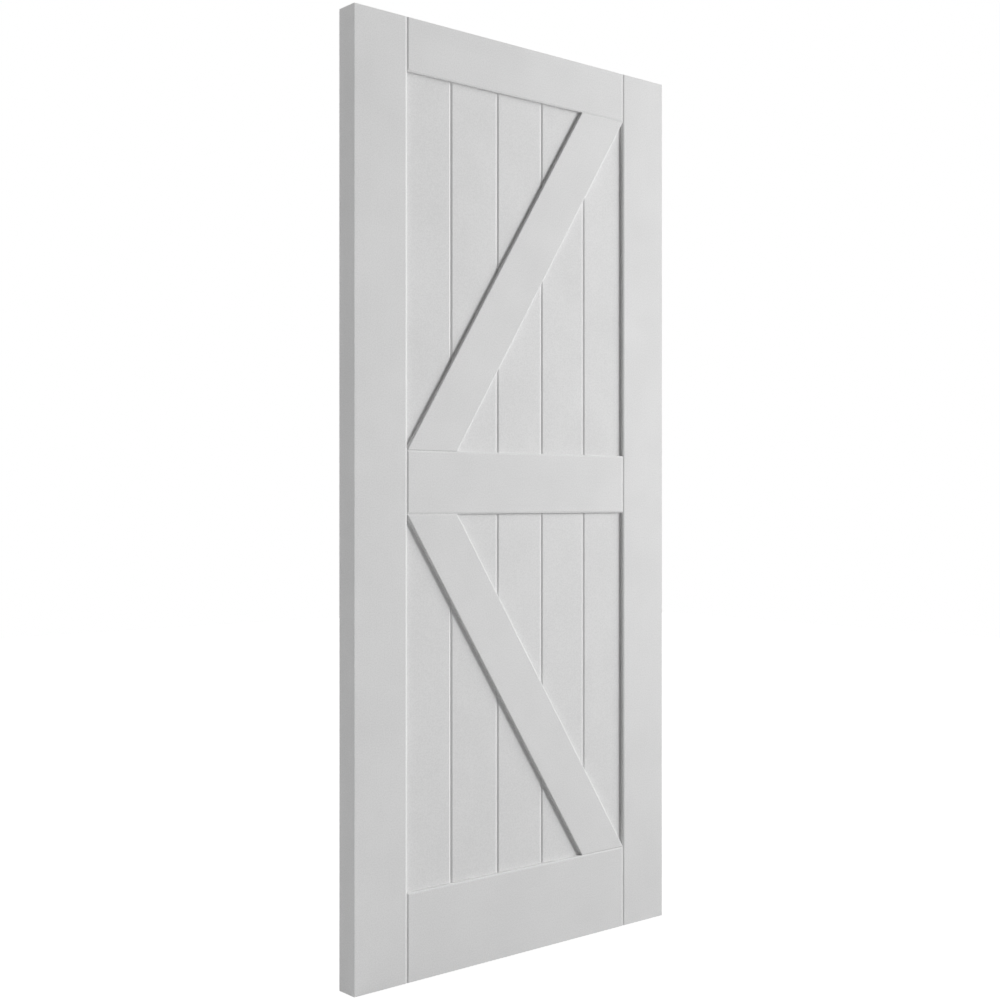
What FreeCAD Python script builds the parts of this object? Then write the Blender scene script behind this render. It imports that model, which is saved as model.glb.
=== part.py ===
"""A ledged and braced door leaf: a jointed frame, two fields of V-jointed boards and flush braces.

Frame: X runs across the width from the hinge edge, Y through the thickness with zero at its middle
and the photographed face at -Y, Z up from the foot of the door. Millimetres.
"""
import FreeCAD, Part
import os
import Sketcher

# Driving sizes
SIZES = {
    "door_width": 914,
    "door_height": 2032,
    "door_thickness": 54,
    "stile_width": 135,
    "top_rail_width": 114,
    "middle_rail_width": 135,
    "bottom_rail_width": 189,
    "middle_rail_level": 986,
    "board_thickness": 38,
    "brace_width": 114,
    "frame_arris_face": 4,
    "frame_arris_depth": 1.5,
    "brace_arris_face": 1.5,
    "brace_arris_depth": 1,
    "board_arris_face": 4.5,
    "board_arris_depth": 2,
    "plough_width": 18,
    "board_housing": 8,
    "plough_relief": 1,
    "tongue_thickness": 12,
    "tongue_length": 8,
    "tongue_relief": 1,
    "tenon_length": 100,
    "tenon_haunch": 36,
    "mortice_relief": 1,
    "joint_clearance": 0.2,
}
BOARDS_IN_FIELD = 5

doc = FreeCAD.newDocument("ledged_and_braced_door")
sheet = doc.addObject("Spreadsheet::Sheet", "sizes")


class Measure:
    """A size that knows its number and the sheet's formula for it."""

    def __init__(self, formula, number):
        self.formula = formula
        self.number = number

    def combine(self, other, sign, number):
        return Measure(f"({self.formula} {sign} {other.formula})", number)

    def __add__(self, other):
        other = measure(other)
        return self.combine(other, "+", self.number + other.number)

    def __sub__(self, other):
        other = measure(other)
        return self.combine(other, "-", self.number - other.number)

    def __mul__(self, other):
        other = measure(other)
        return self.combine(other, "*", self.number * other.number)

    def __truediv__(self, other):
        other = measure(other)
        return self.combine(other, "/", self.number / other.number)

    def __neg__(self):
        return measure(0) - self


def measure(value):
    """Takes a plain number into a formula as it is."""
    return value if isinstance(value, Measure) else Measure(str(value), value)


def driving(name):
    """One driving size, as a cell of the sheet."""
    return Measure(f"sizes.{name}", SIZES[name])


for row, (name, number) in enumerate(SIZES.items(), start=1):
    sheet.set(f"A{row}", name)
    sheet.set(f"B{row}", str(number))
    sheet.setAlias(f"B{row}", name)
doc.recompute()

# Sizes that follow from the driving ones
zero = measure(0)
clearance = driving("joint_clearance")
half_door = driving("door_thickness") / 2
half_board = driving("board_thickness") / 2
brace_thickness = half_door - half_board
half_plough = driving("plough_width") / 2
half_tenon = half_plough - clearance
half_tongue = driving("tongue_thickness") / 2
plough_depth = driving("board_housing") + driving("plough_relief")
field_width = driving("door_width") - driving("stile_width") * 2
half_field = field_width / 2
mortice_depth = driving("tenon_length") + driving("mortice_relief")
board_pitch = (field_width + driving("board_housing") * 2) / BOARDS_IN_FIELD
top_rail_level = driving("door_height") - driving("top_rail_width")
lower_field_level = driving("bottom_rail_width")
lower_field_height = driving("middle_rail_level") - lower_field_level
upper_field_level = driving("middle_rail_level") + driving("middle_rail_width")
upper_field_height = top_rail_level - upper_field_level


def bind(target, path, size):
    target.setExpression(path, size.formula)


def new_body(label, x, y, z, turn=0):
    """A body whose place in the door follows the sheet, turned about Z by whole degrees."""
    body = doc.addObject("PartDesign::Body", label)
    body.Label = label
    body.Placement.Rotation = FreeCAD.Rotation(FreeCAD.Vector(0, 0, 1), turn)
    for axis, size in zip("xyz", (x, y, z)):
        bind(body, f"Placement.Base.{axis}", size)
    return body


def new_sketch(body, name, plane):
    sketch = body.newObject("Sketcher::SketchObject", name)
    planes = [feature for feature in body.Origin.OriginFeatures if feature.Role == plane]
    sketch.AttachmentSupport = (planes[0], [""])
    sketch.MapMode = "FlatFace"
    return sketch


def draw_loop(sketch, corners):
    """Closed straight-sided loop through corners given as numbers, returning its first line."""
    first = sketch.GeometryCount
    points = [FreeCAD.Vector(x, y, 0) for x, y in corners]
    for start, end in zip(points, points[1:] + points[:1]):
        sketch.addGeometry(Part.LineSegment(start, end))
    for step in range(len(points)):
        follower = first + (step + 1) % len(points)
        sketch.addConstraint(Sketcher.Constraint("Coincident", first + step, 2, follower, 1))
    return first


def pin_corner(sketch, line, x, y):
    """Holds the start of a line at two sizes from the sketch's origin."""
    for kind, size in (("DistanceX", x), ("DistanceY", y)):
        index = sketch.addConstraint(Sketcher.Constraint(kind, -1, 1, line, 1, size.number))
        bind(sketch, f"Constraints[{index}]", size)


def draw_outline(sketch, corners):
    """Closed outline with every corner held by the sheet."""
    first = draw_loop(sketch, [(x.number, y.number) for x, y in corners])
    for step, (x, y) in enumerate(corners):
        pin_corner(sketch, first + step, x, y)


def draw_rectangle(sketch, low_x, low_y, high_x, high_y):
    draw_outline(sketch, [(low_x, low_y), (high_x, low_y), (high_x, high_y), (low_x, high_y)])


def pad(body, name, sketch, length, side="One side", reverse=False):
    feature = body.newObject("PartDesign::Pad", name)
    feature.Profile = sketch
    feature.SideType = side
    feature.Reversed = reverse
    bind(feature, "Length", length)
    return feature


def pocket(body, name, sketch, length):
    """Cuts evenly to both sides of the sketch's plane."""
    feature = body.newObject("PartDesign::Pocket", name)
    feature.Profile = sketch
    feature.SideType = "Symmetric"
    bind(feature, "Length", length)
    return feature


def mirror(body, name, features, plane):
    """Repeats features on the far side of one of the body's origin planes."""
    feature = body.newObject("PartDesign::Mirrored", name)
    planes = [item for item in body.Origin.OriginFeatures if item.Role == plane]
    feature.Originals = features
    feature.MirrorPlane = (planes[0], [""])
    body.Tip = feature
    return feature


# Framed edge: a plough for the boards between two arrises
def framed_edge(level, inward):
    """Front-to-back corners of a frame piece's edge, as pairs of level and depth."""
    face = level + driving("frame_arris_face") * inward
    bottom = level + plough_depth * inward
    shoulder = half_door - driving("frame_arris_depth")
    return [
        (face, -half_door),
        (level, -shoulder),
        (level, -half_plough),
        (bottom, -half_plough),
        (bottom, half_plough),
        (level, half_plough),
        (level, shoulder),
        (face, half_door),
    ]


def plain_edge(level):
    return [(level, -half_door), (level, half_door)]


# Rails, each with a haunched or plain tenon at both ends
def tenon_levels(width, field_below, field_above):
    """Lower and upper edge of a rail's tenon."""
    low = plough_depth if field_below else driving("tenon_haunch")
    high = width - (plough_depth if field_above else driving("tenon_haunch"))
    return low, high


def tenon_outline(width, field_below, field_above):
    """Left-hand tenon with its haunch, which fills the stile's plough out to the door's edge."""
    low, high = tenon_levels(width, field_below, field_above)
    shoulder = -half_field
    haunch = shoulder - driving("board_housing")
    tip = shoulder - driving("tenon_length")
    lower = [(shoulder, low), (tip, low)]
    if not field_below:
        lower = [(shoulder, zero), (haunch, zero), (haunch, low), (tip, low)]
    upper = [(tip, high), (shoulder, high)]
    if not field_above:
        upper = [(tip, high), (haunch, high), (haunch, width), (shoulder, width)]
    return lower + upper


def end_arris(sketch, depth_sign):
    """Triangle that takes the arris off a rail's left-hand shoulder line."""
    shoulder = -half_field
    surface = half_door * depth_sign
    draw_outline(sketch, [
        (shoulder, surface),
        (shoulder + driving("frame_arris_face"), surface),
        (shoulder, surface - driving("frame_arris_depth") * depth_sign),
    ])


def make_rail(label, width, level, field_below, field_above):
    body = new_body(label, driving("stile_width") + half_field, zero, level)
    section = new_sketch(body, f"{label}_section", "YZ_Plane")
    lower = framed_edge(zero, 1) if field_below else plain_edge(zero)
    upper = framed_edge(width, -1) if field_above else plain_edge(width)
    corners = lower + upper[::-1]
    draw_outline(section, [(depth, height) for height, depth in corners])
    pad(body, f"{label}_blank", section, field_width, "Symmetric")

    profile = new_sketch(body, f"{label}_tenon_outline", "XZ_Plane")
    draw_outline(profile, tenon_outline(width, field_below, field_above))
    tenon = pad(body, f"{label}_tenon", profile, half_tenon * 2, "Symmetric")

    triangles = new_sketch(body, f"{label}_end_arris_outline", "XY_Plane")
    for depth_sign in (-1, 1):
        end_arris(triangles, depth_sign)
    arris = pocket(body, f"{label}_end_arris", triangles, width * 2)
    doc.recompute()
    mirror(body, f"{label}_other_end", [tenon, arris], "YZ_Plane")
    return body


# Stiles, ploughed from end to end and morticed for the three rails
RAILS = (
    ("top_rail", driving("top_rail_width"), top_rail_level, True, False),
    ("middle_rail", driving("middle_rail_width"), driving("middle_rail_level"), True, True),
    ("bottom_rail", driving("bottom_rail_width"), zero, False, True),
)


def make_stile(label, edge, turn):
    body = new_body(label, edge, zero, zero, turn)
    section = new_sketch(body, f"{label}_section", "XY_Plane")
    inner = driving("stile_width")
    draw_outline(section, plain_edge(zero) + framed_edge(inner, -1)[::-1])
    pad(body, f"{label}_blank", section, driving("door_height"))

    mortices = new_sketch(body, f"{label}_mortice_outline", "XZ_Plane")
    for _, width, level, field_below, field_above in RAILS:
        low, high = tenon_levels(width, field_below, field_above)
        draw_rectangle(
            mortices,
            inner - mortice_depth,
            level + low - clearance,
            inner,
            level + high + clearance,
        )
    pocket(body, f"{label}_mortices", mortices, half_plough * 2)
    return body


# Boards, tongued and grooved together and housed in the frame's ploughs
def housed_edge(pitch_line, inward):
    """Front-to-back corners of a board's edge that is let into a stile."""
    shoulder = pitch_line + driving("board_housing") * inward
    return [
        (shoulder, -half_board),
        (shoulder, -half_tenon),
        (pitch_line, -half_tenon),
        (pitch_line, half_tenon),
        (shoulder, half_tenon),
        (shoulder, half_board),
    ]


def joint_edge(pitch_line, inward, reach, half_width):
    """Front-to-back corners of a tongued or grooved edge between two arrises."""
    face = pitch_line + driving("board_arris_face") * inward
    shoulder = half_board - driving("board_arris_depth")
    return [
        (face, -half_board),
        (pitch_line, -shoulder),
        (pitch_line, -half_width),
        (reach, -half_width),
        (reach, half_width),
        (pitch_line, half_width),
        (pitch_line, shoulder),
        (face, half_board),
    ]


def make_board(label, number, level, height):
    tongue_end = driving("board_housing")
    place = driving("stile_width") - tongue_end + board_pitch * (number - 1)
    body = new_body(label, place, zero, level - tongue_end)
    groove_depth = driving("tongue_length") + driving("tongue_relief")
    left = joint_edge(zero, 1, groove_depth, half_tongue + clearance)
    if number == 1:
        left = housed_edge(zero, 1)
    right = joint_edge(board_pitch, -1, board_pitch + driving("tongue_length"), half_tongue)
    if number == BOARDS_IN_FIELD:
        right = housed_edge(board_pitch, -1)
    section = new_sketch(body, f"{label}_section", "XY_Plane")
    draw_outline(section, left + right[::-1])
    length = height + tongue_end * 2
    pad(body, f"{label}_blank", section, length)

    rebates = new_sketch(body, f"{label}_rebate_outline", "YZ_Plane")
    for low in (zero, length - tongue_end):
        draw_rectangle(rebates, -half_board, low, -half_tenon, low + tongue_end)
        draw_rectangle(rebates, half_tenon, low, half_board, low + tongue_end)
    pocket(body, f"{label}_rebates", rebates, (board_pitch + driving("tongue_length")) * 2)
    return body


# Braces, planted on the boards and cut to the corners of a field
def make_brace(label, level, height, rising, front):
    surface = -half_board if front else half_board
    body = new_body(label, driving("stile_width"), surface, level)
    start = zero if rising else height
    finish = height if rising else zero
    outline = new_sketch(body, f"{label}_outline", "XZ_Plane")
    guess = driving("brace_width").number
    first = draw_loop(outline, [
        (zero.number, start.number),
        (guess, start.number),
        (field_width.number, finish.number),
        (field_width.number - guess, finish.number),
    ])
    pin_corner(outline, first, zero, start)
    pin_corner(outline, first + 2, field_width, finish)
    outline.addConstraint(Sketcher.Constraint("Horizontal", first))
    outline.addConstraint(Sketcher.Constraint("Horizontal", first + 2))
    outline.addConstraint(Sketcher.Constraint("Parallel", first + 1, first + 3))
    width = Sketcher.Constraint("Distance", first, 2, first + 3, driving("brace_width").number)
    bind(outline, f"Constraints[{outline.addConstraint(width)}]", driving("brace_width"))
    blank = pad(body, f"{label}_blank", outline, brace_thickness, reverse=not front)
    doc.recompute()

    depths = [vertex.Point.y for vertex in blank.Shape.Vertexes]
    outer = min(depths) if front else max(depths)
    rim = [
        f"Edge{index}"
        for index, edge in enumerate(blank.Shape.Edges, start=1)
        if all(abs(vertex.Point.y - outer) < Part.Precision.confusion() for vertex in edge.Vertexes)
    ]
    arris = body.newObject("PartDesign::Chamfer", f"{label}_arris")
    arris.Base = (blank, rim)
    arris.ChamferType = "Two distances"
    bind(arris, "Size", driving("brace_arris_depth"))
    bind(arris, "Size2", driving("brace_arris_face"))
    return body


def make_door():
    pieces = [
        make_stile("hinge_stile", zero, 0),
        make_stile("lock_stile", driving("door_width"), 180),
    ]
    pieces += [make_rail(*rail) for rail in RAILS]
    fields = (
        ("upper", upper_field_level, upper_field_height, True),
        ("lower", lower_field_level, lower_field_height, False),
    )
    for field, level, height, rising in fields:
        for number in range(1, BOARDS_IN_FIELD + 1):
            pieces.append(make_board(f"{field}_board_{number}", number, level, height))
        for side in ("front", "back"):
            pieces.append(make_brace(f"{side}_{field}_brace", level, height, rising, side == "front"))
    return pieces


def write_pieces(pieces):
    doc.recompute()
    for item in doc.Objects:
        if {"Invalid", "Error"} & set(item.State):
            raise RuntimeError(f"{item.Label} failed")
    os.makedirs("parts", exist_ok=True)
    for body in pieces:
        shape = body.Shape
        if shape.isNull() or not shape.isValid() or len(shape.Solids) != 1:
            raise RuntimeError(f"{body.Label} is not one sound solid")
        shape.exportStep(f"parts/{body.Label}.step")


write_pieces(make_door())
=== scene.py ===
"""White primed ledged and braced door leaf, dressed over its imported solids, on a pale floor."""
from math import atan2, cos, degrees, pi, radians, sin, sqrt

import bmesh
import bpy
from bpy.props import FloatProperty, FloatVectorProperty, IntProperty, PointerProperty
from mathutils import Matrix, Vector


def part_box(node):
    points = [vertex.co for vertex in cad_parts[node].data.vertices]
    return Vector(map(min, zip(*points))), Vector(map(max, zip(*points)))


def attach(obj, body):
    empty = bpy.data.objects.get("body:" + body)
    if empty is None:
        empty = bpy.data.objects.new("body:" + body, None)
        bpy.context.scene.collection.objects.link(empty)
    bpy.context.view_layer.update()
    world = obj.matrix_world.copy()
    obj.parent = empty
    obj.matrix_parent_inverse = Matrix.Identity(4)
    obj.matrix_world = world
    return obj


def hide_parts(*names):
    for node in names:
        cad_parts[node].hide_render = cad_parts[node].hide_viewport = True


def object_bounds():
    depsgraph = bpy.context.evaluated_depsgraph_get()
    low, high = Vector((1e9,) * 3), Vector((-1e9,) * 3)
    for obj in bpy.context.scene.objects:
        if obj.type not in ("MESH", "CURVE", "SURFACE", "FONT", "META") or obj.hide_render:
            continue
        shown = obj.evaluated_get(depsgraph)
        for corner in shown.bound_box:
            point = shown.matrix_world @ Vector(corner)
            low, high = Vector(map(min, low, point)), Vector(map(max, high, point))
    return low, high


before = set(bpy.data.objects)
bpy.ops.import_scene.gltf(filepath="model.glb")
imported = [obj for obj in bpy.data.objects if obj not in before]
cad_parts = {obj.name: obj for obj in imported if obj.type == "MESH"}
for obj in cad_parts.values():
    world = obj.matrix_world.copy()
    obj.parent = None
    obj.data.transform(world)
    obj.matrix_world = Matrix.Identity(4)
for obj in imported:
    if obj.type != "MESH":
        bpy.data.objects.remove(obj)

bl_info = {
    "name": "Ledged and braced door",
    "version": (1, 0, 0),
    "blender": (4, 5, 0),
    "location": "3D View > Sidebar > Door",
    "description": "Finishes a white primed door leaf over its packed solids",
    "category": "Object",
}

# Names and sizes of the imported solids, in metres
CAD_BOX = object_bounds()
BODY = "root"
SLOT = "white_primer"
FRAME_PIECES = ("hinge_stile", "lock_stile", "top_rail", "middle_rail", "bottom_rail")
BRACES = ("front_upper_brace", "front_lower_brace", "back_upper_brace", "back_lower_brace")
FIELDS = {"upper": ("middle_rail", "top_rail"), "lower": ("bottom_rail", "middle_rail")}

first_low, first_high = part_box("upper_board_1")
second_low, second_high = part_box("upper_board_2")
BOARD_PITCH = second_low.x - first_low.x
BOARD_THICKNESS = first_high.y - first_low.y
BOARD_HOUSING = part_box("middle_rail")[1].z - first_low.z
TONGUE_LENGTH = second_high.x - second_low.x - BOARD_PITCH
BOARD_COUNT = sum(name.startswith("upper_board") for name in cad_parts)

# Clearing of meshes: points closer than this are one, and faces turned less than this are one
WELD_DISTANCE = 1e-6
FLAT_ANGLE = radians(0.2)
# An edge is softened if it lies within this many arris depths below the face
ARRIS_REACH = 1.5

# Every timber has a number of its own, which moves its grain; each field counts from a new ten
TIMBER = "timber"
NUMBERS_PER_FIELD = 10.0

# The coat: sizes in metres, then how far each pattern thins and dulls it from the middle value
NOISE_ROUGHNESS = 0.55
NOISE_MIDDLE = 0.5
COAT_DETAIL = 2.0
GRAIN_DETAIL = 3.0
GRAIN_SIZE = 0.0035
GRAIN_STRETCH = 24.0
GRAIN_STEP = 3.7
MOTTLE_SIZE = 0.11
MOTTLE_STEP = 0.6
BUMP_DISTANCE = 0.001
STIPPLE_THINS = 3.4
MOTTLE_THINS = 0.9
GRAIN_THINS = 0.4
STIPPLE_DULLS = 0.10
MOTTLE_DULLS = 0.12

# The floor: how far it reaches and lies below the foot, in metres, and its tones
FLOOR_REACH = 8.0
FLOOR_LEVEL = -0.0004
FLOOR_CLOUD_SIZE = 0.6
FLOOR_CLOUD_DETAIL = 3.0
FLOOR_TONES = (0.44, 0.48)
FLOOR_SHOWN_TONE = 0.35
FLOOR_GLOW = 0.79
FLOOR_GLOW_PER_METRE = 0.08

# The near lamp's place and width, in metres
NEAR_LAMP_PLACE = (3.3, -2.6, 1.8)
NEAR_LAMP_SIZE = 0.8

# The camera, from the column and the height of the face's near and far edges, in pixels
NEAR_EDGE = (354.29, 995.16)
FAR_EDGE = (662.0, 830.36)
PICTURE_SIZE = 1000.0
SENSOR_WIDTH = 36.0


# Sizes and colours that a user would change
class DoorEdges(bpy.types.PropertyGroup):
    softening: FloatProperty(
        name="Softened edge",
        description="How far the paint rounds each arris of the frame, boards and braces",
        default=0.0004, min=0.0001, max=0.002, subtype="DISTANCE", unit="LENGTH",
    )
    arris_depth: FloatProperty(
        name="Arris depth",
        description="How deep the deepest arris of the frame and braces goes",
        default=0.0015, min=0.0005, subtype="DISTANCE", unit="LENGTH",
    )
    rounds: IntProperty(
        name="Edge rounds",
        description="Facets across one softened edge",
        default=3, min=1, max=8,
    )


class DoorBoarding(bpy.types.PropertyGroup):
    boards: IntProperty(
        name="Boards",
        description="Boards side by side in one field",
        default=BOARD_COUNT, min=3, max=12,
    )
    pitch: FloatProperty(
        name="Pitch",
        description="From one V joint to the next",
        default=BOARD_PITCH, min=0.05, subtype="DISTANCE", unit="LENGTH",
    )
    thickness: FloatProperty(
        name="Thickness",
        description="Thickness of a board, front to back",
        default=BOARD_THICKNESS, min=0.012, subtype="DISTANCE", unit="LENGTH",
    )
    housing: FloatProperty(
        name="Housing",
        description="How far the boarding is let into the frame",
        default=BOARD_HOUSING, min=0.002, subtype="DISTANCE", unit="LENGTH",
    )
    housed_thickness: FloatProperty(
        name="Housed thickness",
        description="Thickness of a board where it is let into the frame",
        default=0.0176, min=0.006, subtype="DISTANCE", unit="LENGTH",
    )
    arris_face: FloatProperty(
        name="V joint face",
        description="Width of one side of a V joint, across the face",
        default=0.0045, min=0.001, subtype="DISTANCE", unit="LENGTH",
    )
    arris_depth: FloatProperty(
        name="V joint depth",
        description="Depth of a V joint",
        default=0.002, min=0.001, subtype="DISTANCE", unit="LENGTH",
    )
    tongue_length: FloatProperty(
        name="Tongue length",
        description="How far a tongue reaches into the next board",
        default=TONGUE_LENGTH, min=0.003, subtype="DISTANCE", unit="LENGTH",
    )
    tongue_thickness: FloatProperty(
        name="Tongue thickness",
        description="Thickness of a board's tongue",
        default=0.012, min=0.003, subtype="DISTANCE", unit="LENGTH",
    )
    groove_relief: FloatProperty(
        name="Groove relief",
        description="Spare depth at the bottom of a groove",
        default=0.001, min=0.0, subtype="DISTANCE", unit="LENGTH",
    )
    groove_slack: FloatProperty(
        name="Groove slack",
        description="Gap left on each side of a tongue",
        default=0.0002, min=0.0, subtype="DISTANCE", unit="LENGTH",
    )


# The boarding tree's lengths, and the settings that fill them
BOARD_LENGTHS = {
    "Pitch": "pitch",
    "Thickness": "thickness",
    "Housing": "housing",
    "Housed thickness": "housed_thickness",
    "V joint face": "arris_face",
    "V joint depth": "arris_depth",
    "Tongue length": "tongue_length",
    "Tongue thickness": "tongue_thickness",
    "Groove relief": "groove_relief",
    "Groove slack": "groove_slack",
}


class DoorPrimer(bpy.types.PropertyGroup):
    colour: FloatVectorProperty(
        name="Primer",
        description="Colour of the white primer",
        default=(0.815, 0.815, 0.815), min=0.0, max=1.0, size=3, subtype="COLOR",
    )
    thin_colour: FloatVectorProperty(
        name="Thin primer",
        description="Colour where the coat lies a little thinner",
        default=(0.75, 0.75, 0.75), min=0.0, max=1.0, size=3, subtype="COLOR",
    )
    roughness: FloatProperty(
        name="Roughness",
        description="Roughness of the dry primer",
        default=0.72, min=0.0, max=1.0, subtype="FACTOR",
    )
    stipple_size: FloatProperty(
        name="Stipple size",
        description="Width of one dimple of the sprayed coat",
        default=0.003, min=0.0005, subtype="DISTANCE", unit="LENGTH",
    )
    stipple_height: FloatProperty(
        name="Stipple height",
        description="Height of the sprayed coat's dimples",
        default=0.00009, min=0.0, precision=6, subtype="DISTANCE", unit="LENGTH",
    )
    grain_height: FloatProperty(
        name="Grain height",
        description="Height of the wood grain as it shows through the coat",
        default=0.00005, min=0.0, precision=6, subtype="DISTANCE", unit="LENGTH",
    )


class DoorStage(bpy.types.PropertyGroup):
    key_strength: FloatProperty(
        name="Key light",
        description="Strength of the broad light from the right, which rakes the boards",
        default=2.05, min=0.0,
    )
    key_side: FloatProperty(
        name="Key side",
        description="How far round to the right of square on the key light stands",
        default=radians(60), min=0.0, max=radians(89), subtype="ANGLE", unit="ROTATION",
    )
    key_rise: FloatProperty(
        name="Key rise",
        description="How far the key light stands above level",
        default=radians(20), min=0.0, max=radians(89), subtype="ANGLE", unit="ROTATION",
    )
    back_strength: FloatProperty(
        name="Back light",
        description="Strength of the broad light from behind, which also lights the hinge edge",
        default=1.9, min=0.0,
    )
    back_side: FloatProperty(
        name="Back side",
        description="How far round to the right of square on the back light stands",
        default=radians(218), min=radians(91), max=radians(269), subtype="ANGLE", unit="ROTATION",
    )
    back_rise: FloatProperty(
        name="Back rise",
        description="How far the back light stands above level",
        default=radians(45), min=0.0, max=radians(89), subtype="ANGLE", unit="ROTATION",
    )
    light_width: FloatProperty(
        name="Light width",
        description="How broad the key and back lights are, for soft shadows",
        default=radians(40), min=0.0, max=radians(120), subtype="ANGLE", unit="ROTATION",
    )
    near_power: FloatProperty(
        name="Near lamp",
        description="Power of the small soft lamp that stands nearer, on the key side",
        default=54.0, min=0.0, unit="POWER",
    )
    fill: FloatProperty(
        name="Fill",
        description="Strength of the even light from all round",
        default=0.09, min=0.0,
    )


# Node trees: expressions on sockets, and one way to add any other node
class Value:
    """A socket that takes part in arithmetic, adding the Math nodes it needs."""

    def __init__(self, tree, socket):
        self.tree = tree
        self.socket = socket

    def maths(self, operation, *others):
        operands = dict(enumerate((self, *others)))
        return value_of(self.tree, "ShaderNodeMath", {"operation": operation}, operands)

    def __add__(self, other):
        return self.maths("ADD", other)

    __radd__ = __add__

    def __sub__(self, other):
        return self.maths("SUBTRACT", other)

    def __mul__(self, other):
        return self.maths("MULTIPLY", other)

    def __truediv__(self, other):
        return self.maths("DIVIDE", other)

    def __neg__(self):
        return self.maths("MULTIPLY", -1.0)

    def lowest(self, other):
        return self.maths("MINIMUM", other)

    def highest(self, other):
        return self.maths("MAXIMUM", other)


def add_node(tree, kind, settings=None, sockets=None):
    """Adds a node, makes its settings, then fills its sockets with values or links."""
    node = tree.nodes.new(kind)
    for name, setting in (settings or {}).items():
        setattr(node, name, setting)
    for key, content in (sockets or {}).items():
        if isinstance(content, Value):
            tree.links.new(content.socket, node.inputs[key])
        else:
            node.inputs[key].default_value = content
    return node


def value_of(tree, kind, settings=None, sockets=None, output=0):
    """One output of a new node."""
    return Value(tree, add_node(tree, kind, settings, sockets).outputs[output])


def noise(tree, place, size, detail, shift=0.0):
    sockets = {
        "Vector": place, "Scale": 1.0 / size, "Detail": detail,
        "Roughness": NOISE_ROUGHNESS, "W": shift,
    }
    return value_of(tree, "ShaderNodeTexNoise", {"noise_dimensions": "4D"}, sockets)


def grey(tone):
    return (tone, tone, tone, 1.0)


def mixed(tree, share, first, second):
    """From the first colour to the second, by the share. The Mix node's colours go by number."""
    settings = {"data_type": "RGBA", "clamp_factor": True}
    return value_of(tree, "ShaderNodeMix", settings, {0: share, 6: first, 7: second}, output=2)


# White primer over timber
def white_primer(turn):
    """Primer over timber whose grain is turned from upright, about Y, by an angle."""
    look = bpy.context.scene.door_primer
    name = f"{SLOT}_{round(degrees(turn))}"
    if name in bpy.data.materials:
        return bpy.data.materials[name]
    material = bpy.data.materials.new(name)
    material.use_nodes = True
    tree = material.node_tree
    tree.nodes.clear()

    place = value_of(tree, "ShaderNodeTexCoord", output="Object")
    piece = value_of(tree, "ShaderNodeAttribute", {"attribute_name": TIMBER}, output="Fac")
    along_grain = value_of(
        tree, "ShaderNodeMapping", {"vector_type": "TEXTURE"},
        {"Vector": place, "Rotation": (0.0, turn, 0.0), "Scale": (1.0, 1.0, GRAIN_STRETCH)},
    )
    grain = noise(tree, along_grain, GRAIN_SIZE, GRAIN_DETAIL, piece * GRAIN_STEP) - NOISE_MIDDLE
    stipple = noise(tree, place, look.stipple_size, COAT_DETAIL) - NOISE_MIDDLE
    mottle = noise(tree, place, MOTTLE_SIZE, COAT_DETAIL, piece * MOTTLE_STEP) - NOISE_MIDDLE

    dimples = stipple * (look.stipple_height / BUMP_DISTANCE)
    ridges = grain * (look.grain_height / BUMP_DISTANCE)
    bump = value_of(
        tree, "ShaderNodeBump", None,
        {"Strength": 1.0, "Distance": BUMP_DISTANCE, "Height": dimples + ridges},
    )
    thin = stipple * STIPPLE_THINS + mottle * MOTTLE_THINS + grain * GRAIN_THINS + NOISE_MIDDLE
    roughness = stipple * STIPPLE_DULLS + mottle * MOTTLE_DULLS + look.roughness
    shader = value_of(
        tree, "ShaderNodeBsdfPrincipled", None,
        {
            "Base Color": mixed(tree, thin, (*look.colour, 1.0), (*look.thin_colour, 1.0)),
            "Roughness": roughness,
            "Normal": bump,
        },
    )
    add_node(tree, "ShaderNodeOutputMaterial", None, {"Surface": shader})
    return material


# Finished pieces
def settled_mesh(piece):
    """The mesh that the piece's modifiers make, with the modifiers removed."""
    made = piece.evaluated_get(bpy.context.evaluated_depsgraph_get())
    mesh = bpy.data.meshes.new_from_object(made)
    piece.modifiers.clear()
    return mesh


def finish_piece(piece, nodes):
    """Softens the marked edges, sets the piece on the body and takes the solids' places over."""
    edges = bpy.context.scene.door_edges
    piece.data.shade_flat()
    bevel = piece.modifiers.new("softened_edges", "BEVEL")
    bevel.limit_method = "WEIGHT"
    bevel.width = edges.softening
    bevel.segments = edges.rounds
    piece.data = settled_mesh(piece)
    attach(piece, BODY)
    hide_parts(*nodes)


def mark_edges(mesh, face, arris_depth):
    """Marks for softening the edges at both faces, which lie so far from the middle plane."""
    deepest = face - arris_depth * ARRIS_REACH
    marks = mesh.attributes.new("bevel_weight_edge", "FLOAT", "EDGE")
    for edge in mesh.edges:
        nearest = min(abs(mesh.vertices[index].co.y) for index in edge.vertices)
        marks.data[edge.index].value = float(nearest > deepest)


def plain_copy(node, name):
    """The node's solid as a new object with whole faces instead of loose triangles."""
    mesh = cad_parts[node].data.copy()
    mesh.materials.clear()
    mesh.name = name
    shell = bmesh.new()
    shell.from_mesh(mesh)
    bmesh.ops.remove_doubles(shell, verts=shell.verts, dist=WELD_DISTANCE)
    bmesh.ops.dissolve_limit(
        shell, angle_limit=FLAT_ANGLE, verts=shell.verts, edges=shell.edges, delimit=set(),
    )
    shell.to_mesh(mesh)
    shell.free()
    piece = bpy.data.objects.new(name, mesh)
    bpy.context.scene.collection.objects.link(piece)
    return piece


def grain_turn(mesh):
    """Turn about Y, from upright, of the piece's longest edge."""
    ends = [[mesh.vertices[index].co for index in edge.vertices] for edge in mesh.edges]
    run = max((last - first for first, last in ends), key=lambda item: item.length)
    if run.z < 0:
        run = -run
    return atan2(run.x, run.z)


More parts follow.
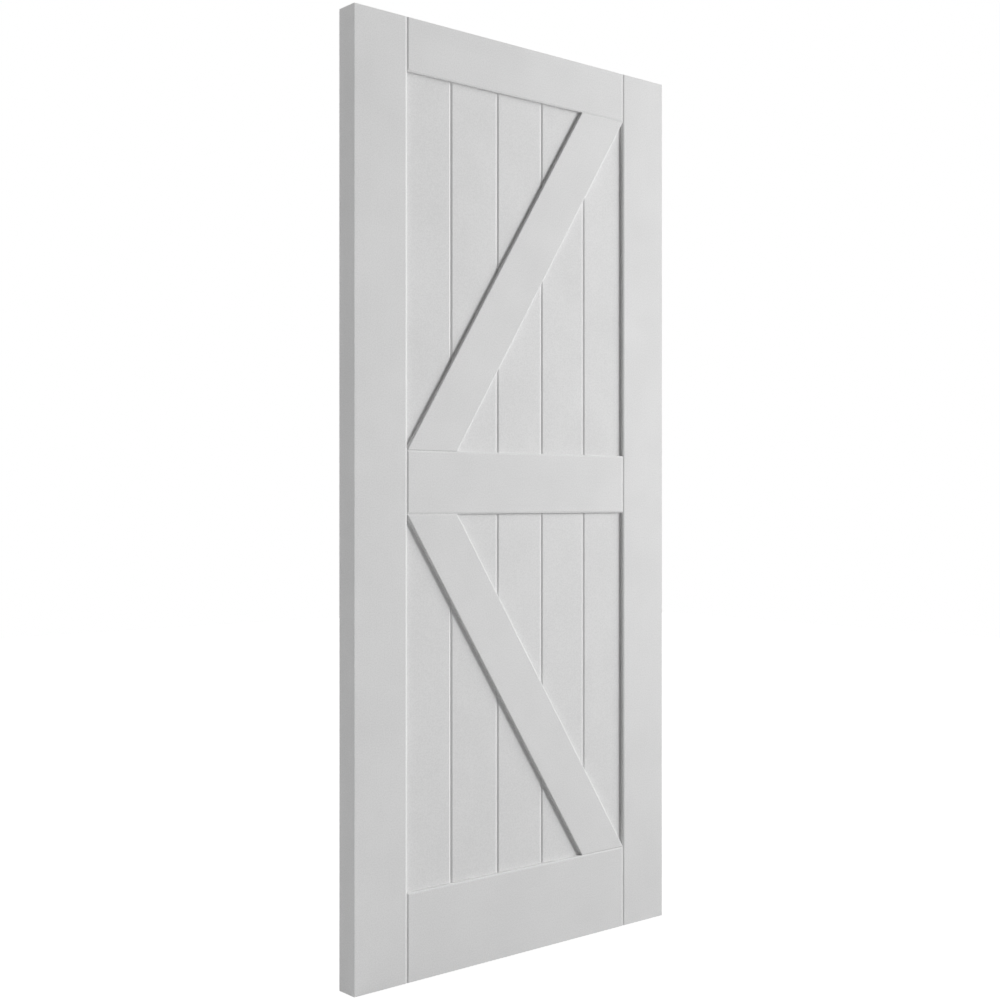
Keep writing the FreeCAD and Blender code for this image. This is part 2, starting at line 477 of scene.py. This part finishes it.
def finish_solid(node, number):
    """One piece of the frame or a brace, in its solid's own shape."""
    piece = plain_copy(node, f"primed_{node}")
    mesh = piece.data
    mark_edges(mesh, CAD_BOX[1].y, bpy.context.scene.door_edges.arris_depth)
    tone = mesh.attributes.new(TIMBER, "FLOAT", "POINT")
    tone.data.foreach_set("value", [float(number)] * len(mesh.vertices))
    mesh.materials.append(white_primer(grain_turn(mesh)))
    finish_piece(piece, [node])


# Boarding: one tree makes a field of boards from its sizes
def housed_edge(sizes, line, inward):
    """Front-to-back corners of the edge of an outer board, which is let into a stile."""
    shoulder = line + sizes["Housing"] * inward
    outer = sizes["Thickness"] * 0.5
    inner = sizes["Housed thickness"] * 0.5
    return [
        (shoulder, -outer), (shoulder, -inner), (line, -inner),
        (line, inner), (shoulder, inner), (shoulder, outer),
    ]


def jointed_edge(sizes, line, inward, reach, half_width):
    """Front-to-back corners of a tongued or grooved edge between the sides of two V joints."""
    face = line + sizes["V joint face"] * inward
    outer = sizes["Thickness"] * 0.5
    shoulder = outer - sizes["V joint depth"]
    return [
        (face, -outer), (line, -shoulder), (line, -half_width), (reach, -half_width),
        (reach, half_width), (line, half_width), (line, shoulder), (face, outer),
    ]


def switch(tree, index, choices):
    """Picks one of several numbers by its place."""
    node = add_node(tree, "GeometryNodeIndexSwitch", {"data_type": "FLOAT"}, {0: index})
    while len(node.index_switch_items) < len(choices):
        node.index_switch_items.new()
    for step, choice in enumerate(choices, start=1):
        if isinstance(choice, Value):
            tree.links.new(choice.socket, node.inputs[step])
        else:
            node.inputs[step].default_value = choice
    return Value(tree, node.outputs[0])


def board_prism(tree, sizes, corners):
    """A closed prism on a section's corners, thinned where its ends are let into the rails."""
    full = sizes["Thickness"] * 0.5
    thin = sizes["Housed thickness"] * 0.5
    height = sizes["Height"]
    foot = -sizes["Housing"]
    head = height + sizes["Housing"]
    rings = [(head, thin), (height, thin), (height, full), (0.0, full), (0.0, thin), (foot, thin)]
    blank = value_of(
        tree, "GeometryNodeMeshCylinder", {"fill_type": "NGON"},
        {"Vertices": len(corners), "Side Segments": len(rings) - 1, "Radius": 1.0, "Depth": 1.0},
    )
    index = value_of(tree, "GeometryNodeInputIndex")
    corner = index.maths("FLOORED_MODULO", float(len(corners)))
    ring = (index / float(len(corners))).maths("FLOOR")
    across = switch(tree, corner, [x for x, _ in corners])
    depth = switch(tree, corner, [y for _, y in corners])
    level = switch(tree, ring, [z for z, _ in rings])
    limit = switch(tree, ring, [half for _, half in rings])
    depth = depth.lowest(limit).highest(-limit)
    place = value_of(tree, "ShaderNodeCombineXYZ", None, {"X": across, "Y": depth, "Z": level})
    shaped = value_of(
        tree, "GeometryNodeSetPosition", None, {"Geometry": blank, "Position": place},
    )
    return value_of(
        tree, "GeometryNodeMergeByDistance", None,
        {"Geometry": shaped, "Distance": WELD_DISTANCE},
    )


def board_row(tree, prism, start, offset, count, first_number):
    """A row of boards from a start, each with its timber's number."""
    line = value_of(
        tree, "GeometryNodeMeshLine", {"mode": "OFFSET"},
        {
            "Count": count,
            "Start Location": value_of(tree, "ShaderNodeCombineXYZ", None, {"X": start}),
            "Offset": offset,
        },
    )
    boards = value_of(
        tree, "GeometryNodeInstanceOnPoints", None, {"Points": line, "Instance": prism},
    )
    number = value_of(tree, "GeometryNodeInputIndex") + first_number
    return value_of(
        tree, "GeometryNodeStoreNamedAttribute", {"data_type": "FLOAT", "domain": "INSTANCE"},
        {"Geometry": boards, "Name": TIMBER, "Value": number},
    )


def boarding_tree():
    """A field of tongued and grooved boards between the frame's ploughs."""
    tree = bpy.data.node_groups.new("boarding", "GeometryNodeTree")
    tree.interface.new_socket("Geometry", in_out="INPUT", socket_type="NodeSocketGeometry")
    kinds = {
        "Boards": "NodeSocketInt", "Corner": "NodeSocketVector", "Primer": "NodeSocketMaterial",
        **dict.fromkeys(("First timber", "Height", *BOARD_LENGTHS), "NodeSocketFloat"),
    }
    for name, kind in kinds.items():
        tree.interface.new_socket(name, in_out="INPUT", socket_type=kind)
    tree.interface.new_socket("Geometry", in_out="OUTPUT", socket_type="NodeSocketGeometry")
    entry = add_node(tree, "NodeGroupInput")
    sizes = {name: Value(tree, entry.outputs[name]) for name in kinds}

    pitch = sizes["Pitch"]
    tongue = sizes["Tongue length"]
    half_tongue = sizes["Tongue thickness"] * 0.5
    half_groove = half_tongue + sizes["Groove slack"]
    grooved = jointed_edge(sizes, 0.0, 1.0, tongue + sizes["Groove relief"], half_groove)
    tongued = jointed_edge(sizes, pitch, -1.0, pitch + tongue, half_tongue)
    last = sizes["Boards"] - 1.0
    # Section's corners, place of the first such board, how many, and its number in the field
    kinds_of_board = [
        (tongued + housed_edge(sizes, 0.0, 1.0)[::-1], 0.0, 1, 0.0),
        (tongued + grooved[::-1], pitch, sizes["Boards"] - 2.0, 1.0),
        (housed_edge(sizes, pitch, -1.0) + grooved[::-1], pitch * last, 1, last),
    ]
    one_pitch = value_of(tree, "ShaderNodeCombineXYZ", None, {"X": pitch})
    joined = add_node(tree, "GeometryNodeJoinGeometry")
    for corners, start, count, number in kinds_of_board:
        prism = board_prism(tree, sizes, corners)
        first_number = sizes["First timber"] + number
        row = board_row(tree, prism, start, one_pitch, count, first_number)
        tree.links.new(row.socket, joined.inputs[0])
    placed = value_of(
        tree, "GeometryNodeTransform", None,
        {"Geometry": Value(tree, joined.outputs[0]), "Translation": sizes["Corner"]},
    )
    real = value_of(tree, "GeometryNodeRealizeInstances", None, {"Geometry": placed})
    painted = value_of(
        tree, "GeometryNodeSetMaterial", None, {"Geometry": real, "Material": sizes["Primer"]},
    )
    add_node(tree, "NodeGroupOutput", None, {"Geometry": painted})
    return tree


def run_tree(piece, tree, sizes):
    """Fills the tree's inputs, settles what it makes and clears flat slivers from the mesh."""
    modifier = piece.modifiers.new(tree.name, "NODES")
    modifier.node_group = tree
    inputs = [item for item in tree.interface.items_tree if item.in_out == "INPUT"]
    sockets = {item.name: item.identifier for item in inputs}
    for name, size in sizes.items():
        modifier[sockets[name]] = size
    bpy.context.view_layer.update()
    mesh = settled_mesh(piece)
    shell = bmesh.new()
    shell.from_mesh(mesh)
    bmesh.ops.dissolve_degenerate(shell, edges=shell.edges, dist=WELD_DISTANCE)
    shell.to_mesh(mesh)
    shell.free()
    piece.data = mesh


# Camera, lamps, world and floor
def add_camera():
    """Stands the camera where the near and far edges have their height and place."""
    low, high = CAD_BOX
    width, height = high.x - low.x, high.z - low.z
    near_column, near_height = NEAR_EDGE
    far_column, far_height = FAR_EDGE
    middle = PICTURE_SIZE / 2
    across = (far_column - middle) / far_height - (near_column - middle) / near_height
    deeper = 1.0 / far_height - 1.0 / near_height
    focus = sqrt((width / height) ** 2 - across ** 2) / deeper
    turn = atan2(focus * deeper, across)
    away = focus * height / near_height
    aside = (near_column - middle) / focus * away
    camera = bpy.data.cameras.new("camera")
    camera.lens = focus / PICTURE_SIZE * SENSOR_WIDTH
    camera.sensor_width = SENSOR_WIDTH
    view = bpy.data.objects.new("camera", camera)
    view.location = (
        low.x - aside * cos(turn) - away * sin(turn),
        low.y + aside * sin(turn) - away * cos(turn),
        (low.z + high.z) / 2,
    )
    view.rotation_euler = (pi / 2, 0.0, -turn)
    bpy.context.scene.collection.objects.link(view)
    bpy.context.scene.camera = view


def add_light(name, kind, toward, strength):
    """A light that shines from the given direction on the middle of the door."""
    light = bpy.data.lights.new(name, kind)
    light.energy = strength
    stand = bpy.data.objects.new(name, light)
    stand.rotation_euler = toward.to_track_quat("Z", "Y").to_euler()
    stand.visible_camera = False
    bpy.context.scene.collection.objects.link(stand)
    return stand


def add_broad_light(name, side, rise, width, strength):
    """A distant light, turned to a side from square on and raised above level."""
    toward = Vector((sin(side) * cos(rise), -cos(side) * cos(rise), sin(rise)))
    add_light(name, "SUN", toward, strength).data.angle = width


def add_near_lamp(power):
    """A small soft lamp, near enough to light the nearer side of the door more."""
    middle = (CAD_BOX[0] + CAD_BOX[1]) / 2
    lamp = add_light("near_lamp", "AREA", Vector(NEAR_LAMP_PLACE) - middle, power)
    lamp.location = NEAR_LAMP_PLACE
    lamp.data.size = NEAR_LAMP_SIZE


def seen_directly(tree):
    """1 where the camera, a reflection or clear glass looks at the surface."""
    path = add_node(tree, "ShaderNodeLightPath")
    camera, glossy, clear = (
        Value(tree, path.outputs[name])
        for name in ("Is Camera Ray", "Is Glossy Ray", "Is Transmission Ray")
    )
    return camera.highest(glossy).highest(clear)


def add_world(fill):
    """White where it is looked at, and an even light of the given strength elsewhere."""
    world = bpy.data.worlds.new("pale_room")
    world.use_nodes = True
    tree = world.node_tree
    tree.nodes.clear()
    strength = seen_directly(tree) * (1.0 - fill) + fill
    sockets = {"Color": grey(1.0), "Strength": strength}
    light = value_of(tree, "ShaderNodeBackground", None, sockets)
    add_node(tree, "ShaderNodeOutputWorld", None, {"Surface": light})
    bpy.context.scene.world = world


def pale_floor():
    """Lights the door as a mid grey, and looks white but for the door's shadow."""
    material = bpy.data.materials.new("pale_floor")
    material.use_nodes = True
    tree = material.node_tree
    tree.nodes.clear()
    place = value_of(tree, "ShaderNodeTexCoord", output="Object")
    cloudy = noise(tree, place, FLOOR_CLOUD_SIZE, FLOOR_CLOUD_DETAIL)
    colour = mixed(tree, cloudy, *map(grey, FLOOR_TONES))
    pale = value_of(tree, "ShaderNodeBsdfDiffuse", None, {"Color": colour})
    faint = value_of(tree, "ShaderNodeBsdfDiffuse", None, {"Color": grey(FLOOR_SHOWN_TONE)})
    away = value_of(
        tree, "ShaderNodeVectorMath", {"operation": "DISTANCE"},
        {0: place, 1: ((CAD_BOX[0].x + CAD_BOX[1].x) / 2, 0.0, 0.0)}, output="Value",
    )
    strength = (away * FLOOR_GLOW_PER_METRE + FLOOR_GLOW).lowest(1.0)
    sockets = {"Color": grey(1.0), "Strength": strength}
    glow = value_of(tree, "ShaderNodeEmission", None, sockets)
    shown = value_of(tree, "ShaderNodeAddShader", None, {0: faint, 1: glow})
    sockets = {0: seen_directly(tree), 1: pale, 2: shown}
    surface = value_of(tree, "ShaderNodeMixShader", None, sockets)
    add_node(tree, "ShaderNodeOutputMaterial", None, {"Surface": surface})
    return material


def add_floor():
    mesh = bpy.data.meshes.new("floor")
    reach = FLOOR_REACH
    sides = [(-reach, -reach), (reach, -reach), (reach, reach), (-reach, reach)]
    mesh.from_pydata([(*side, FLOOR_LEVEL) for side in sides], [], [(0, 1, 2, 3)])
    mesh.materials.append(pale_floor())
    floor = bpy.data.objects.new("floor", mesh)
    bpy.context.scene.collection.objects.link(floor)


# Operators, one for each group of like pieces and one for the stage
class DOOR_OT_frame(bpy.types.Operator):
    """Finish the two stiles and the three rails"""
    bl_idname = "door.frame"
    bl_label = "Stiles and rails"

    def execute(self, context):
        for number, node in enumerate(FRAME_PIECES, start=1):
            finish_solid(node, number)
        return {"FINISHED"}


class DOOR_OT_boarding(bpy.types.Operator):
    """Make the V-jointed boards of both fields"""
    bl_idname = "door.boarding"
    bl_label = "Boarding"

    def execute(self, context):
        boarding = context.scene.door_boarding
        tree = boarding_tree()
        lengths = {socket: getattr(boarding, item) for socket, item in BOARD_LENGTHS.items()}
        for step, (field, (below, above)) in enumerate(FIELDS.items(), start=1):
            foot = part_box(below)[1].z
            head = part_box(above)[0].z
            name = f"{field}_boarding"
            piece = bpy.data.objects.new(name, bpy.data.meshes.new(name))
            context.scene.collection.objects.link(piece)
            run_tree(piece, tree, {
                "Boards": boarding.boards,
                "Corner": (first_low.x, 0.0, foot),
                "Primer": white_primer(0.0),
                "First timber": NUMBERS_PER_FIELD * step,
                "Height": head - foot,
                **lengths,
            })
            mark_edges(piece.data, boarding.thickness / 2, boarding.arris_depth)
            boards = [f"{field}_board_{number}" for number in range(1, BOARD_COUNT + 1)]
            finish_piece(piece, boards)
        return {"FINISHED"}


class DOOR_OT_braces(bpy.types.Operator):
    """Finish the braces of both faces"""
    bl_idname = "door.braces"
    bl_label = "Braces"

    def execute(self, context):
        for number, node in enumerate(BRACES, start=len(FRAME_PIECES) + 1):
            finish_solid(node, number)
        return {"FINISHED"}


class DOOR_OT_stage(bpy.types.Operator):
    """Set the floor, the lamps and the camera"""
    bl_idname = "door.stage"
    bl_label = "Floor, lamps and camera"

    def execute(self, context):
        stage = context.scene.door_stage
        width = stage.light_width
        add_world(stage.fill)
        add_floor()
        add_broad_light("key_light", stage.key_side, stage.key_rise, width, stage.key_strength)
        add_broad_light(
            "back_light", stage.back_side, stage.back_rise, width, stage.back_strength,
        )
        add_near_lamp(stage.near_power)
        add_camera()
        context.scene.view_settings.view_transform = "Standard"
        return {"FINISHED"}


OPERATORS = (DOOR_OT_frame, DOOR_OT_boarding, DOOR_OT_braces, DOOR_OT_stage)
SETTINGS = {
    "door_edges": DoorEdges,
    "door_boarding": DoorBoarding,
    "door_primer": DoorPrimer,
    "door_stage": DoorStage,
}


class DOOR_PT_panel(bpy.types.Panel):
    """Sizes, colours and steps of the door"""
    bl_idname = "DOOR_PT_panel"
    bl_label = "Ledged and braced door"
    bl_space_type = "VIEW_3D"
    bl_region_type = "UI"
    bl_category = "Door"

    def draw(self, context):
        for name, group in SETTINGS.items():
            box = self.layout.box()
            settings = getattr(context.scene, name)
            for item in group.__annotations__:
                box.prop(settings, item)
        for operator in OPERATORS:
            self.layout.operator(operator.bl_idname)


CLASSES = (*SETTINGS.values(), *OPERATORS, DOOR_PT_panel)


def register():
    for item in CLASSES:
        bpy.utils.register_class(item)
    for name, group in SETTINGS.items():
        setattr(bpy.types.Scene, name, PointerProperty(type=group))


def unregister():
    for name in SETTINGS:
        delattr(bpy.types.Scene, name)
    for item in reversed(CLASSES):
        bpy.utils.unregister_class(item)


def main():
    register()
    bpy.ops.door.frame()
    bpy.ops.door.boarding()
    bpy.ops.door.braces()
    bpy.ops.door.stage()


if __name__ == "__main__":
    main()
